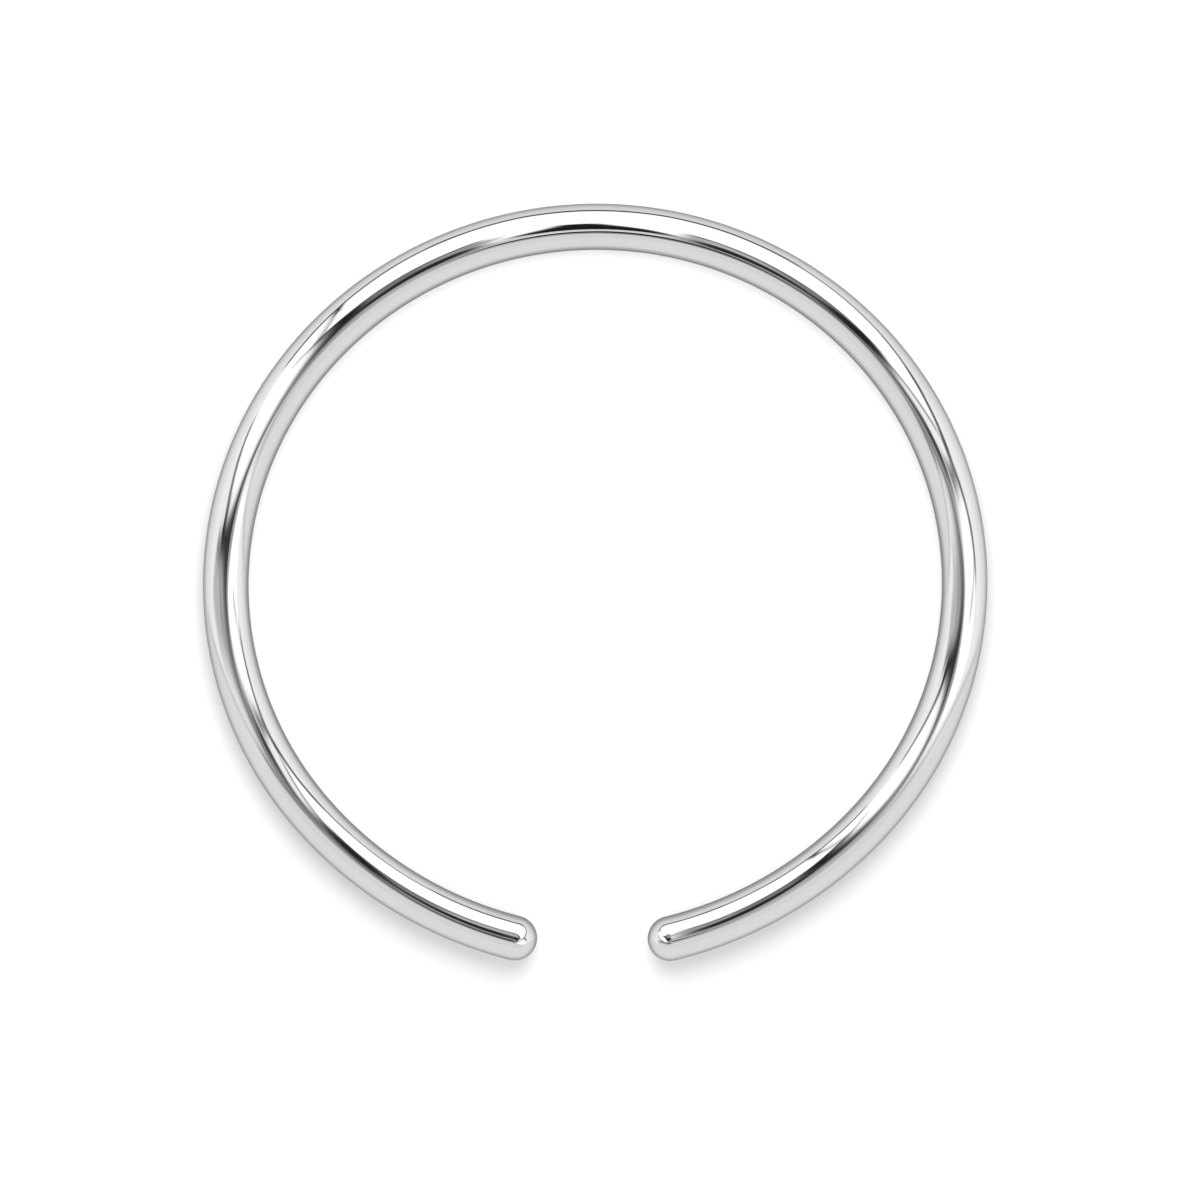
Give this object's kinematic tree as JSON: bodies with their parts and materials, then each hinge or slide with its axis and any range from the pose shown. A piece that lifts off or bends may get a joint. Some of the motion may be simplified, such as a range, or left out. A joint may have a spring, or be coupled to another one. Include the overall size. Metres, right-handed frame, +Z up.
{
  "type": "open hoop nose ring",
  "caption": "Plain open hoop nose ring of thin round polished silver wire, with a small gap between its two rounded ends.",
  "frame": {"origin": "centre of the hoop's circle, on the surface that the ring lies on", "axes": "+Z up, out of the plane of the hoop; -Y through the middle of the gap; +X to the right when seen from above with the gap nearest"},
  "size_m": [0.0112, 0.0112, 0.0007],
  "materials": {
    "polished_silver": "mirror-polished, rhodium-bright silver wire with very faint buffing marks"
  },
  "bodies": {
    "root": {"hoop": "polished_silver"}
  },
  "joints": []
}
